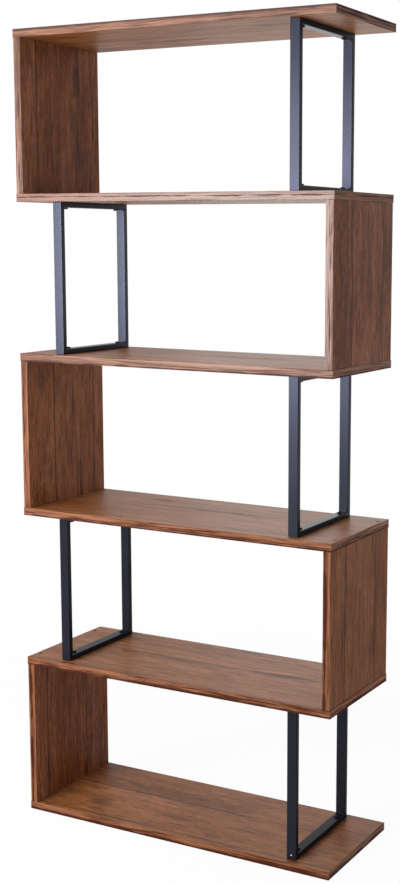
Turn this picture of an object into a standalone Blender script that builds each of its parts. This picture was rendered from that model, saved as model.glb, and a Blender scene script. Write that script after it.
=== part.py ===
"""An S-shaped open bookcase: six shelves joined by five side panels, left and right in turn, with a welded
tube frame that carries the open end of each bay. The origin is on the floor under the middle of the bookcase,
+X is to the right, +Y is to the back and +Z is up. Every length is in metres."""

import math

import bmesh
import bpy
from mathutils import Vector

# Boards
SHELF_COUNT = 6
SHELF_WIDTH = 0.800
SHELF_DEPTH = 0.290
SHELF_THICKNESS = 0.018
PANEL_THICKNESS = 0.018
CLEAR_HEIGHT = 0.3414
SHELF_OVERHANG = 0.0015
BOARD_CHAMFER = 0.0006

# Pieces that rest on each other stay this far apart
SEAT_GAP = 0.0003

# Tube frames
FRAME_END_INSET = 0.08825
FRAME_EDGE_INSET = 0.0175
TUBE_WIDTH = 0.0235
TUBE_THICKNESS = 0.012
TUBE_WALL = 0.0012
TUBE_ROUNDING = 0.0010

# Countersunk screws that hold a shelf to the end of a side panel
PANEL_SCREW_INSET = 0.037
PANEL_SCREW_HEAD_RADIUS = 0.0050
PANEL_SCREW_HEAD_DEPTH = 0.0035
PANEL_SCREW_NECK_RADIUS = 0.0035
PANEL_SCREW_NECK_LENGTH = 0.0060
PANEL_SCREW_THREAD_RADIUS = 0.0026
PANEL_SCREW_GRIP = 0.032
PANEL_SCREW_SINK = 0.0004
PANEL_SCREW_SOCKET_WIDTH = 0.0040
PANEL_SCREW_SOCKET_DEPTH = 0.0026

# Pan-head screws that hold a frame's rail to a shelf
FRAME_SCREW_INSET = 0.020
FRAME_SCREW_HEAD_RADIUS = 0.0050
FRAME_SCREW_HEAD_HEIGHT = 0.0030
FRAME_SCREW_HEAD_ROUNDING = 0.0012
FRAME_SCREW_SHANK_RADIUS = 0.0020
FRAME_SCREW_BITE = 0.0115
FRAME_SCREW_TIP_LENGTH = 0.0025
FRAME_SCREW_SLOT_LENGTH = 0.0050
FRAME_SCREW_SLOT_WIDTH = 0.0011
FRAME_SCREW_SLOT_DEPTH = 0.0014

# Holes
HOLE_CLEARANCE = 0.0003
CUT_OVERRUN = 0.002
ROUND_SIDES = 8

# Worked out from the sizes above
LEVEL_PITCH = CLEAR_HEIGHT + SHELF_THICKNESS
PANEL_HEIGHT = CLEAR_HEIGHT - 2 * SEAT_GAP
PANEL_CENTRE_X = SHELF_WIDTH / 2 - SHELF_OVERHANG - PANEL_THICKNESS / 2
PANEL_SCREW_Y = SHELF_DEPTH / 2 - PANEL_SCREW_INSET
PANEL_SCREW_LENGTH = SHELF_THICKNESS - PANEL_SCREW_SINK + PANEL_SCREW_GRIP
FRAME_DEPTH = SHELF_DEPTH - 2 * FRAME_EDGE_INSET
FRAME_HEIGHT = CLEAR_HEIGHT - 2 * SEAT_GAP
FRAME_CENTRE_X = SHELF_WIDTH / 2 - FRAME_END_INSET - TUBE_WIDTH / 2
FRAME_SCREW_Y = FRAME_DEPTH / 2 - TUBE_THICKNESS - FRAME_SCREW_INSET
FRAME_SCREW_LENGTH = SEAT_GAP + TUBE_THICKNESS + SEAT_GAP + FRAME_SCREW_BITE

# A screw's own length runs down from its head, so one that is driven upwards is turned over
DRIVEN_DOWN = (0.0, 0.0, 0.0)
DRIVEN_UP = (math.pi, 0.0, 0.0)
DEPTH_SIDES = (("front", -1), ("rear", 1))


def clear_scene():
    for existing in list(bpy.data.objects):
        bpy.data.objects.remove(existing, do_unlink=True)


def new_collection(name):
    collection = bpy.data.collections.new(name)
    bpy.context.scene.collection.children.link(collection)
    return collection


def plain_material(name, colour, roughness, metallic):
    material = bpy.data.materials.new(name)
    material.use_nodes = True
    shader = material.node_tree.nodes["Principled BSDF"]
    shader.inputs["Base Color"].default_value = (*colour, 1.0)
    shader.inputs["Roughness"].default_value = roughness
    shader.inputs["Metallic"].default_value = metallic
    return material


def set_material(mesh, material):
    mesh.materials.clear()
    mesh.materials.append(material)


def add_object(name, mesh, collection, location=(0, 0, 0), rotation=(0, 0, 0)):
    made = bpy.data.objects.new(name, mesh)
    made.location = location
    made.rotation_euler = rotation
    collection.objects.link(made)
    return made


def add_cutter(name, mesh, collection, location=(0, 0, 0), rotation=(0, 0, 0)):
    """A cutter isn't a piece of the bookcase, so it shows only as wires."""
    cutter = add_object(name, mesh, collection, location, rotation)
    cutter.hide_render = True
    cutter.display_type = "WIRE"
    return cutter


def box_mesh(name, size):
    """A box of that size about its own centre."""
    mesh = bpy.data.meshes.new(name)
    shape = bmesh.new()
    bmesh.ops.create_cube(shape, size=1.0)
    bmesh.ops.scale(shape, vec=Vector(size), verts=shape.verts)
    shape.to_mesh(mesh)
    shape.free()
    return mesh


def hexagon_mesh(name, width, depth):
    """A hexagonal bar of that width across its flats, upright about its own centre."""
    mesh = bpy.data.meshes.new(name)
    shape = bmesh.new()
    corner_radius = width / math.sqrt(3)
    bmesh.ops.create_cone(
        shape, cap_ends=True, segments=6, radius1=corner_radius, radius2=corner_radius, depth=depth
    )
    shape.to_mesh(mesh)
    shape.free()
    return mesh


def cut(target, cutter, name):
    modifier = target.modifiers.new(name, "BOOLEAN")
    modifier.operation = "DIFFERENCE"
    modifier.solver = "EXACT"
    modifier.object = cutter


def round_edges(target, width, segments):
    modifier = target.modifiers.new("rounded edges", "BEVEL")
    modifier.width = width
    modifier.segments = segments
    modifier.limit_method = "ANGLE"
    modifier.angle_limit = math.radians(60)


def finished_mesh(source, name):
    """The mesh of an object with its modifiers carried out. The object itself is removed."""
    bpy.context.view_layer.update()
    graph = bpy.context.evaluated_depsgraph_get()
    mesh = bpy.data.meshes.new_from_object(source.evaluated_get(graph))
    mesh.name = name
    bpy.data.objects.remove(source, do_unlink=True)
    return mesh


def turned_object(name, profile, collection):
    """A solid of revolution about Z, from (radius, height) points that run from its top to its bottom."""
    mesh = bpy.data.meshes.new(name)
    points = [(radius, 0.0, height) for radius, height in profile]
    mesh.from_pydata(points, [(i, i + 1) for i in range(len(points) - 1)], [])
    turned = add_object(name, mesh, collection)
    screw = turned.modifiers.new("turn", "SCREW")
    screw.steps = ROUND_SIDES
    screw.render_steps = ROUND_SIDES
    screw.use_merge_vertices = True
    screw.merge_threshold = SEAT_GAP / 30
    return turned


def turned_mesh(name, profile, collection):
    return finished_mesh(turned_object(name, profile, collection), name)


def panel_screw_profile(clearance=0.0, overrun=0.0):
    """Outline of a countersunk screw, the top of its head at zero. A clearance makes it its hole's outline."""
    head = PANEL_SCREW_HEAD_RADIUS + clearance
    neck = PANEL_SCREW_NECK_RADIUS + clearance
    thread = PANEL_SCREW_THREAD_RADIUS + clearance
    neck_end = -PANEL_SCREW_HEAD_DEPTH - PANEL_SCREW_NECK_LENGTH
    step = PANEL_SCREW_NECK_RADIUS - PANEL_SCREW_THREAD_RADIUS
    end = -PANEL_SCREW_LENGTH - clearance
    return [
        (0.0, overrun),
        (head, overrun),
        (head, -clearance),
        (neck, -PANEL_SCREW_HEAD_DEPTH - clearance),
        (neck, neck_end - clearance),
        (thread, neck_end - step - clearance),
        (thread, end + PANEL_SCREW_THREAD_RADIUS),
        (thread / 2, end),
        (0.0, end),
    ]


def frame_screw_profile():
    """Outline of a pan-head screw, the underside of its head at zero."""
    head = FRAME_SCREW_HEAD_RADIUS
    top = FRAME_SCREW_HEAD_HEIGHT
    rounding = FRAME_SCREW_HEAD_ROUNDING
    shank = FRAME_SCREW_SHANK_RADIUS
    return [
        (0.0, top),
        (head - rounding, top),
        (head, top - rounding),
        (head, 0.0),
        (shank, 0.0),
        (shank, FRAME_SCREW_TIP_LENGTH - FRAME_SCREW_LENGTH),
        (shank / 2, -FRAME_SCREW_LENGTH),
        (0.0, -FRAME_SCREW_LENGTH),
    ]


def frame_screw_hole_profile():
    """Outline of the hole for a pan-head screw's shank, which opens above the underside of the head."""
    radius = FRAME_SCREW_SHANK_RADIUS + HOLE_CLEARANCE
    end = -FRAME_SCREW_LENGTH - HOLE_CLEARANCE
    return [(0.0, CUT_OVERRUN), (radius, CUT_OVERRUN), (radius, end), (0.0, end)]


def panel_screw_mesh(material, cutters):
    """A countersunk screw with a hexagonal socket in its head."""
    screw = turned_object("panel screw blank", panel_screw_profile(), cutters)
    socket_shape = hexagon_mesh("panel screw socket", PANEL_SCREW_SOCKET_WIDTH, 2 * PANEL_SCREW_SOCKET_DEPTH)
    cut(screw, add_cutter("panel screw socket", socket_shape, cutters), "hexagonal socket")
    return finish_screw(screw, "panel screw", material)


def frame_screw_mesh(material, cutters):
    """A pan-head screw with a cross recess in its head."""
    screw = turned_object("frame screw blank", frame_screw_profile(), cutters)
    slot_size = (FRAME_SCREW_SLOT_LENGTH, FRAME_SCREW_SLOT_WIDTH, 2 * FRAME_SCREW_SLOT_DEPTH)
    slot_shape = box_mesh("frame screw slot", slot_size)
    place = (0.0, 0.0, FRAME_SCREW_HEAD_HEIGHT)
    for arm in range(2):
        turn = (0.0, 0.0, arm * math.pi / 2)
        slot = add_cutter(f"frame screw slot {arm + 1}", slot_shape, cutters, place, turn)
        cut(screw, slot, f"cross recess {arm + 1}")
    return finish_screw(screw, "frame screw", material)


def finish_screw(screw, name, material):
    mesh = finished_mesh(screw, name)
    set_material(mesh, material)
    mesh.shade_smooth()
    mesh.set_sharp_from_angle(angle=math.radians(40))
    return mesh


def frame_screw_ends():
    """For a frame's lower and upper screws: the end, the way driven and the head's height above its middle."""
    seat = FRAME_HEIGHT / 2 - TUBE_THICKNESS - SEAT_GAP
    return (("lower", DRIVEN_DOWN, -seat), ("upper", DRIVEN_UP, seat))


def frame_ring_size(inset, width):
    """A box that is inset all round from the frame's outline, and that wide along X."""
    return (width, FRAME_DEPTH - 2 * inset, FRAME_HEIGHT - 2 * inset)


def frame_mesh(material, screw_hole, cutters):
    """A welded rectangle of flat tube that stands in the YZ plane, about its own centre."""
    through = TUBE_WIDTH + 2 * CUT_OVERRUN
    frame = add_object("frame blank", box_mesh("frame blank", frame_ring_size(0.0, TUBE_WIDTH)), cutters)
    window = box_mesh("frame window", frame_ring_size(TUBE_THICKNESS, through))
    cut(frame, add_cutter("frame window", window, cutters), "window")
    round_edges(frame, TUBE_ROUNDING, 2)

    bore = box_mesh("tube bore", frame_ring_size(TUBE_WALL, TUBE_WIDTH - 2 * TUBE_WALL))
    core = box_mesh("tube bore core", frame_ring_size(TUBE_THICKNESS - TUBE_WALL, through))
    bore_cutter = add_cutter("tube bore", bore, cutters)
    cut(bore_cutter, add_cutter("tube bore core", core, cutters), "ring")
    cut(frame, bore_cutter, "hollow tube")

    for end, turn, height in frame_screw_ends():
        for depth_side, toward in DEPTH_SIDES:
            place = (0.0, toward * FRAME_SCREW_Y, height)
            name = f"rail hole {end} {depth_side}"
            cut(frame, add_cutter(name, screw_hole, cutters, place, turn), name)
    mesh = finished_mesh(frame, "support frame")
    set_material(mesh, material)
    return mesh


def add_board(name, size, place, material, collection):
    mesh = box_mesh(name, size)
    set_material(mesh, material)
    board = add_object(name, mesh, collection, place)
    round_edges(board, BOARD_CHAMFER, 1)
    return board


def add_screws(name, shape, hole, centre_x, screw_y, height, turn, boards, pieces, cutters):
    """A front and a rear screw, with their holes through the boards that they join."""
    for depth_side, toward in DEPTH_SIDES:
        place = (centre_x, toward * screw_y, height)
        screw_name = f"{name}_{depth_side}"
        add_object(screw_name, shape, pieces, place, turn)
        cutter = add_cutter(f"{screw_name} hole", hole, cutters, place, turn)
        for board in boards:
            cut(board, cutter, screw_name)


def build():
    clear_scene()
    pieces = new_collection("bookcase")
    cutters = new_collection("bookcase cutters")
    walnut = plain_material("walnut_board", (0.20, 0.085, 0.042), 0.55, 0.0)
    black_coat = plain_material("black_tube", (0.022, 0.022, 0.028), 0.42, 0.2)
    black_steel = plain_material("black_screw", (0.010, 0.010, 0.011), 0.40, 0.6)

    panel_screw = panel_screw_mesh(black_steel, cutters)
    frame_screw = frame_screw_mesh(black_steel, cutters)
    panel_hole = turned_mesh("panel screw hole", panel_screw_profile(HOLE_CLEARANCE, CUT_OVERRUN), cutters)
    frame_hole = turned_mesh("frame screw hole", frame_screw_hole_profile(), cutters)
    frame = frame_mesh(black_coat, frame_hole, cutters)

    shelf_size = (SHELF_WIDTH, SHELF_DEPTH, SHELF_THICKNESS)
    shelves = []
    for level in range(SHELF_COUNT):
        place = (0.0, 0.0, level * LEVEL_PITCH + SHELF_THICKNESS / 2)
        shelves.append(add_board(f"shelf_{level + 1}", shelf_size, place, walnut, pieces))

    panel_size = (PANEL_THICKNESS, SHELF_DEPTH, PANEL_HEIGHT)
    for bay in range(SHELF_COUNT - 1):
        number = bay + 1
        panel_side = -1 if bay % 2 == 0 else 1
        panel_x = panel_side * PANEL_CENTRE_X
        frame_x = -panel_side * FRAME_CENTRE_X
        middle = bay * LEVEL_PITCH + SHELF_THICKNESS + CLEAR_HEIGHT / 2
        lower_shelf = shelves[bay]
        upper_shelf = shelves[bay + 1]
        panel = add_board(f"side_panel_{number}", panel_size, (panel_x, 0.0, middle), walnut, pieces)
        add_object(f"support_frame_{number}", frame, pieces, (frame_x, 0.0, middle))

        # A panel's lower screws come up through the shelf below, and its upper ones down through the shelf above
        head_reach = CLEAR_HEIGHT / 2 + SHELF_THICKNESS - PANEL_SCREW_SINK
        panel_ends = (
            ("lower", DRIVEN_UP, middle - head_reach, lower_shelf),
            ("upper", DRIVEN_DOWN, middle + head_reach, upper_shelf),
        )
        for end, turn, height, shelf in panel_ends:
            name = f"panel_screw_{number}_{end}"
            boards = (shelf, panel)
            add_screws(
                name, panel_screw, panel_hole, panel_x, PANEL_SCREW_Y, height, turn, boards, pieces, cutters
            )

        joined_shelf = {"lower": lower_shelf, "upper": upper_shelf}
        for end, turn, height in frame_screw_ends():
            name = f"frame_screw_{number}_{end}"
            boards = (joined_shelf[end],)
            add_screws(
                name, frame_screw, frame_hole, frame_x, FRAME_SCREW_Y, middle + height, turn, boards, pieces, cutters
            )


build()
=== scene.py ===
# %% [markdown]
# # A zigzag bookcase in walnut print and black tube
#
# This lesson dresses a tall open bookcase. Six equal boards lie one above another. A side panel joins each pair
# of them, on the left and on the right in turn, and a welded frame of flat tube holds up the open end.
#
# The packed solids give every place and size, so no piece is placed by eye. The lesson replaces the plain boards
# by boards with glued edge bands, the plain frames by tube with soft corners, and the plain screws by turned
# ones. It gives each piece its finish and lights the whole like a studio photograph.

# %% Load the solids
import math
from collections import namedtuple

import bmesh
import bpy
from mathutils import Matrix, Vector


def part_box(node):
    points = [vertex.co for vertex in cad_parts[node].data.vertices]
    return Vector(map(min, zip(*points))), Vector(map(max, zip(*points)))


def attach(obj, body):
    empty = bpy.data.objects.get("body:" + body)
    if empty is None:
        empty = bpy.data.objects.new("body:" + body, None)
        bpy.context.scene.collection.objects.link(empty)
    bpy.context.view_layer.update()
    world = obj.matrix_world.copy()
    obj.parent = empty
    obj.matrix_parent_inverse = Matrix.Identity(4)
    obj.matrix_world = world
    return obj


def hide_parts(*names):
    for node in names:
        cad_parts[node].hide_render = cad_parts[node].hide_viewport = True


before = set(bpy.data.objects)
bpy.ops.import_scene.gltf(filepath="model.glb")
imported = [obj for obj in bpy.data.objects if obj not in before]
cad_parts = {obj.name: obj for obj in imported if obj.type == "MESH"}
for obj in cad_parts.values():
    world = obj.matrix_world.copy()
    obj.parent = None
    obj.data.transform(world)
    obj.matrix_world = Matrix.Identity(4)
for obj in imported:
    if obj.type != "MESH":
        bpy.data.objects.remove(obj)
scene = bpy.context.scene
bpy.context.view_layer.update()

# %% [markdown]
# ## The camera
#
# A camera has a place, a direction and a lens. They could be set by eye, but here they were found by matching
# the corners of the boards to the corners in the photograph. The lens is a little longer than normal, so the
# boards keep nearly their true proportions. The camera stands at three quarters of the bookcase's height, to the
# right.
#
# The picture is a tall crop out of a wider one. So the middle of the lens lies beside the middle of the picture,
# and a small shift of the lens puts it back.

# %% Camera
IMAGE_WIDTH = 400
IMAGE_HEIGHT = 883
SENSOR_WIDTH = 36.0
FOCAL_PIXELS = 1367.578
LENS_CENTRE = (309.176, 438.079)
CAMERA_PLACE = Vector((1.623306, -2.618821, 1.361573))
CAMERA_YAW = -0.4764707
CAMERA_PITCH_DOWN = 0.1453538
CAMERA_ROLL = 0.0064222
NEAREST_SEEN = 0.05
FARTHEST_SEEN = 60.0


def camera_axes(yaw, pitch_down, roll):
    """The camera's right, up and forward directions."""
    forward = Vector((
        math.sin(yaw) * math.cos(pitch_down),
        math.cos(yaw) * math.cos(pitch_down),
        -math.sin(pitch_down),
    ))
    level_right = Vector((math.cos(yaw), -math.sin(yaw), 0.0))
    level_up = level_right.cross(forward)
    right = math.cos(roll) * level_right + math.sin(roll) * level_up
    up = math.cos(roll) * level_up - math.sin(roll) * level_right
    return right, up, forward


lens = bpy.data.cameras.new("studio camera")
lens.sensor_width = SENSOR_WIDTH
lens.lens = FOCAL_PIXELS * SENSOR_WIDTH / IMAGE_HEIGHT
lens.shift_x = (IMAGE_WIDTH / 2 - LENS_CENTRE[0]) / IMAGE_HEIGHT
lens.shift_y = (LENS_CENTRE[1] - IMAGE_HEIGHT / 2) / IMAGE_HEIGHT
lens.clip_start = NEAREST_SEEN
lens.clip_end = FARTHEST_SEEN
camera = bpy.data.objects.new("studio camera", lens)
scene.collection.objects.link(camera)
right, up, forward = camera_axes(CAMERA_YAW, CAMERA_PITCH_DOWN, CAMERA_ROLL)
camera.matrix_world = Matrix.Translation(CAMERA_PLACE) @ Matrix((right, up, -forward)).transposed().to_4x4()
scene.camera = camera
print("lens:", round(lens.lens, 2), "mm, shift:", round(lens.shift_x, 4), round(lens.shift_y, 4))

# %% [markdown]
# ## Sums with sockets
#
# A procedural finish is a tree of nodes, and a tree made by hand is hard to read as code. A small class wraps one
# output socket and gives it Python's own signs, so `1 - mask` or `a * b` adds the Math node that does it.
#
# Every other node comes from one method. It takes the type of node, its settings, which are set first, and what
# goes into its sockets. Colours are mixed by a Mix node, because a Math node would turn them grey.

# %% The socket class
class Wire:
    """A value in a tree of nodes. Sums on it add Math nodes."""

    def __init__(self, tree, socket):
        self.tree = tree
        self.socket = socket

    def math(self, operation, *values):
        return self.tree.node("ShaderNodeMath", {"operation": operation}, dict(enumerate(values)))

    def larger(self, other):
        return self.math("MAXIMUM", self, other)

    def __add__(self, other):
        return self.math("ADD", self, other)

    def __radd__(self, other):
        return self.math("ADD", other, self)

    def __sub__(self, other):
        return self.math("SUBTRACT", self, other)

    def __rsub__(self, other):
        return self.math("SUBTRACT", other, self)

    def __mul__(self, other):
        return self.math("MULTIPLY", self, other)

    def __rmul__(self, other):
        return self.math("MULTIPLY", other, self)

    def __truediv__(self, other):
        return self.math("DIVIDE", self, other)

    def __rtruediv__(self, other):
        return self.math("DIVIDE", other, self)

    def __abs__(self):
        return self.math("ABSOLUTE", self)


print("signs that add a node: + - * / and abs()")


# %% The tree class
class Tree:
    """The nodes of a material or a world that is being made. Its node method adds all that isn't a sum."""

    def __init__(self, owner, shader):
        owner.use_nodes = True
        self.owner = owner
        self.nodes = owner.node_tree.nodes
        self.links = owner.node_tree.links
        self.shader = self.nodes[shader]

    def feed(self, socket, value):
        if isinstance(value, Wire):
            self.links.new(value.socket, socket)
        elif hasattr(value, "__len__") and len(value) == 3 and socket.type == "RGBA":
            socket.default_value = (*value, 1.0)
        else:
            socket.default_value = value

    def node(self, kind, settings=None, sockets=None, output=0):
        made = self.nodes.new(kind)
        for name, value in (settings or {}).items():
            if name == "stops":
                self.set_stops(made.color_ramp, value)
            else:
                setattr(made, name, value)
        for name, value in (sockets or {}).items():
            self.feed(made.inputs[name], value)
        return Wire(self, made.outputs[output])

    def set_stops(self, ramp, stops):
        while len(ramp.elements) < len(stops):
            ramp.elements.new(1.0)
        for element, (position, colour) in zip(ramp.elements, stops):
            element.position = position
            element.color = (*colour, 1.0)

    def finish(self, **sockets):
        """Feeds the shader's own sockets, an underscore in a name standing for a space."""
        for name, value in sockets.items():
            self.feed(self.shader.inputs[name.replace("_", " ")], value)
        return self.owner


print("a tree can:", [name for name in vars(Tree) if not name.startswith("_")])


# %% The finish class
class Finish(Tree):
    """A material that is being made. It is laid out by the place on the piece, in metres."""

    def __init__(self, name):
        super().__init__(bpy.data.materials.new(name), "Principled BSDF")
        self.spot = self.node("ShaderNodeTexCoord", output="Object")
        self.axes = [self.node("ShaderNodeSeparateXYZ", {}, {0: self.spot}, axis) for axis in range(3)]

    def mix(self, first, second, share):
        return self.node("ShaderNodeMix", {"data_type": "RGBA"}, {0: share, 6: first, 7: second}, 2)

    def ramp(self, stops, level):
        return self.node("ShaderNodeValToRGB", {"stops": stops}, {0: level})

    def step(self, value, start, end, low=0.0, high=1.0):
        """Goes smoothly from low where value is start to high where it is end."""
        sockets = {"Value": value, "From Min": start, "From Max": end, "To Min": low, "To Max": high}
        return self.node("ShaderNodeMapRange", {"interpolation_type": "SMOOTHSTEP"}, sockets)

    def noise(self, scales, shift=(0.0, 0.0, 0.0), detail=2.0, roughness=0.5, spot=None):
        """Noise from 0 to 1, about 0.5, with its own count of features for each metre along X, Y and Z."""
        place = {"Vector": spot or self.spot, "Location": shift, "Scale": scales}
        sockets = {"Scale": 1.0, "Detail": detail, "Roughness": roughness}
        sockets["Vector"] = self.node("ShaderNodeMapping", {}, place)
        return self.node("ShaderNodeTexNoise", {}, sockets)

    def bump(self, height, distance, strength):
        """Tilts the surface as a height from 0 to 1 says. The distance is what a height of 1 stands for."""
        return self.node("ShaderNodeBump", {}, {"Height": height, "Distance": distance, "Strength": strength})


print("a finish can:", [name for name in vars(Finish) if not name.startswith("_")])

# %% [markdown]
# ## Grain
#
# Wood grain is stretched noise. The same noise texture, squeezed across the grain and pulled out along it, gives
# fibres, streaks or broad bands of tone, according to how far it is squeezed. A scanned picture of wood would
# give truer figures, but it would repeat from board to board.
#
# All of it is counted in metres, so a board has grain of the real size whichever way it lies. A seed moves each
# board to its own part of the print, and a slow drift keeps the lines from running dead straight.

# %% Grain
Layer = namedtuple("Layer", "lengthwise crosswise detail roughness")


def grain_scales(along, lengthwise, crosswise):
    """Noise features for each metre along X, Y and Z, for grain that runs along one of these axes."""
    scales = [crosswise, crosswise, crosswise]
    scales[along] = lengthwise
    return scales


def wandering(finish, axis, drift):
    """The place on a board, pushed along one axis by a drift, so that grain laid by it wanders."""
    places = list(finish.axes)
    places[axis] = places[axis] + drift
    return finish.node("ShaderNodeCombineXYZ", {}, dict(enumerate(places)))


def layer_noise(finish, along, layer, shift, spot=None):
    scales = grain_scales(along, layer.lengthwise, layer.crosswise)
    return finish.noise(scales, shift, layer.detail, layer.roughness, spot)


def grain(finish, along, layers, shift, spot):
    """The noise of each layer of a print, by the layer's name."""
    return {name: layer_noise(finish, along, layer, shift, spot) for name, layer in layers.items()}


def toned(level, noises, shares, contrast):
    """A level, moved up and down by each noise according to its share."""
    for name, share in shares.items():
        level = (noises[name] - 0.5) * (share * contrast) + level
    return level


def tinted(stops, tint):
    """A ramp's stops with red, green and blue times a tint."""
    return [(place, tuple(part * share for part, share in zip(tone, tint))) for place, tone in stops]


print("grain along Z, 3 by 15 a metre:", grain_scales(2, 3.0, 15.0))

# %% [markdown]
# ## The walnut print
#
# The broad faces aren't veneer. They are chipboard under a printed paper, which copies planks of old walnut: fine
# fibres, longer dark streaks, a few ragged weathered patches, and a thin dark line where two printed planks meet.
#
# Four layers of noise make the tone. Marks lie over it, each cut out of a noise of its own: short pores, longer
# cracks, a smoky mottle, and long thin threads where a very slow noise crosses its middle value. A patch is an
# ellipse whose rim is frayed by noise.
#
# The print is richer than it looks, because a satin film over it mirrors the pale room. Each board has its own
# gloss, as in the photograph.

# %% Planks and patches
PLANK_WIDTH = 0.153
PLANK_LINE = 0.0028
PLANK_LINE_CORE = 0.3
LINE_INK = (0.22, 0.42)
RAGGED_RIM = Layer(34.0, 130.0, 3.0, 0.6)
RIM_SHIFT = (3.7, 1.9, 6.1)
RIM_DEPTH = 3.0


def weathered(finish, along, patches):
    """Rises from 0 to 1 in each ragged patch: (place along the grain, place across, half length, half width)."""
    ragged = layer_noise(finish, along, RAGGED_RIM, RIM_SHIFT)
    total = 0.0
    for length_place, cross_place, half_length, half_width in patches:
        lengthwise = (finish.axes[along] - length_place) / half_length
        crosswise = (finish.axes[1] - cross_place) / half_width
        spread = lengthwise * lengthwise + crosswise * crosswise + (ragged - 0.5) * RIM_DEPTH
        total = finish.step(spread, 1.0, 0.1) + total
    return total


def plank_lines(finish, along, seed, first_line):
    """The dark line between two printed planks, which fades and comes back, and a tone for each plank."""
    planks = (finish.axes[1] - first_line) / PLANK_WIDTH
    fraction = planks.math("FRACT", planks)
    away = (0.5 - abs(fraction - 0.5)) * PLANK_WIDTH
    ink = finish.noise(grain_scales(along, 6.0, 3.0), (seed, 1.7, seed), 3.0)
    line = finish.step(away, PLANK_LINE, PLANK_LINE * PLANK_LINE_CORE) * finish.step(ink, *LINE_INK)
    plank = planks.math("FLOOR", planks)
    tone = finish.node("ShaderNodeTexWhiteNoise", {"noise_dimensions": "1D"}, {"W": plank + seed * 3.1})
    return line, tone


print("plank:", PLANK_WIDTH * 1000, "mm, line:", PLANK_LINE * 1000, "mm to each side")

# %% Walnut print
BoardStyle = namedtuple("BoardStyle", "seed line tint contrast gloss patches")

PRINT_LAYERS = {
    "broad": Layer(3.6, 15.0, 3.0, 0.50),
    "bands": Layer(7.0, 55.0, 3.0, 0.55),
    "streaks": Layer(14.0, 200.0, 3.0, 0.55),
    "fibres": Layer(55.0, 520.0, 2.0, 0.50),
    "pores": Layer(30.0, 300.0, 2.0, 0.50),
    "cracks": Layer(10.0, 150.0, 3.0, 0.50),
    "threads": Layer(1.3, 24.0, 1.0, 0.50),
    "smoke": Layer(13.0, 30.0, 3.0, 0.60),
}
PRINT_SHARES = {"broad": 0.62, "bands": 0.60, "streaks": 0.74, "fibres": 1.00, "plank": 0.18}
PRINT_LEVEL = 0.53
PRINT_DRIFT = 0.010
PRINT_TONES = [
    (0.00, (0.062, 0.016, 0.005)),
    (0.28, (0.128, 0.038, 0.011)),
    (0.50, (0.192, 0.065, 0.025)),
    (0.72, (0.250, 0.096, 0.048)),
    (1.00, (0.340, 0.152, 0.098)),
]
WEATHERED_TONE = (0.056, 0.033, 0.025)
PLANK_LINE_TONE = (0.030, 0.010, 0.006)
PORE_EDGE, PORE_INK = (0.60, 0.70), 0.42
CRACK_EDGE, CRACK_INK, CRACK_INK_LIMIT = (0.61, 0.67), 0.66, 0.80
THREAD_EDGE, THREAD_INK, THREAD_GAPS = (0.022, 0.006), 0.52, (0.40, 0.60)
SMOKE_EDGE, SMOKE_INK = (0.50, 0.72), 0.34
PATCH_EDGE, PATCH_INK = (0.80, 1.08), 0.62
LINE_DARKNESS = 0.90
PRINT_RELIEF = 0.00012


def walnut_print(name, along, style):
    """The print on the broad faces of a board whose grain runs along axis 0, X, or 2, Z."""
    made = Finish(name)
    seed, contrast = style.seed, style.contrast
    shift = (seed * 1.37, seed * 2.11, seed * 0.93)
    drift = made.noise(grain_scales(along, 3.0, 7.0), shift, 1.0) - 0.5
    noises = grain(made, along, PRINT_LAYERS, shift, wandering(made, 1, drift * PRINT_DRIFT))
    line, noises["plank"] = plank_lines(made, along, seed, style.line)
    streaks, fibres = noises["streaks"], noises["fibres"]

    level = toned(PRINT_LEVEL, noises, PRINT_SHARES, contrast)
    printed = made.ramp(tinted(PRINT_TONES, style.tint), level)
    patch = weathered(made, along, style.patches) * made.step(noises["bands"] + streaks, *PATCH_EDGE)
    smoke = made.step(noises["smoke"], *SMOKE_EDGE)
    aged = made.mix(printed, WEATHERED_TONE, (patch * PATCH_INK).larger(smoke * SMOKE_INK))

    pores = made.step(noises["pores"], *PORE_EDGE) * (PORE_INK * contrast)
    cracks = made.step(noises["cracks"], *CRACK_EDGE) * min(CRACK_INK_LIMIT, CRACK_INK * contrast)
    threads = made.step(abs(noises["threads"] - 0.5), *THREAD_EDGE)
    threads = threads * made.step(streaks, *THREAD_GAPS) * (THREAD_INK * contrast)
    cracked = made.mix(aged, PLANK_LINE_TONE, pores.larger(cracks).larger(threads))
    return made.finish(
        Base_Color=made.mix(cracked, PLANK_LINE_TONE, line * LINE_DARKNESS),
        Roughness=0.44 + 0.16 * (fibres - 0.5) + 0.08 * patch,
        Specular_IOR_Level=style.gloss,
        Normal=made.bump(fibres * 0.5 + streaks * 0.5 - line * 0.8, PRINT_RELIEF, 0.6),
    )


print("layers of noise in the print:", len(PRINT_LAYERS), "tones:", len(PRINT_TONES))

# %% [markdown]
# ## The edge bands
#
# The narrow edges are covered by plastic strips, a millimetre thick, with a bolder print than the faces have:
# fine strokes and hairs over a lighter, more orange ground. One long dark vein wanders along each strip,
# sometimes with a second one beside it. The dark marks are matter than the ground, so they stay dark where the
# strip mirrors a lamp.
#
# Noise alone makes scattered marks. So the vein is a curve: its distance from the middle of the strip is a slow
# noise plus a faster one, and the strip is dark close to that curve. Its width changes along the strip in the
# same way, down to gaps, or with no gap where the vein is steady.

# %% Veins
VEIN_SLOW, VEIN_QUICK, VEIN_GIRTH = 4.5, 26.0, 19.0
VEIN_SLOW_SWING = 2.4
VEIN_GAP = (0.26, 0.44)
STEADY_SHIFT = 0.3


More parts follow.
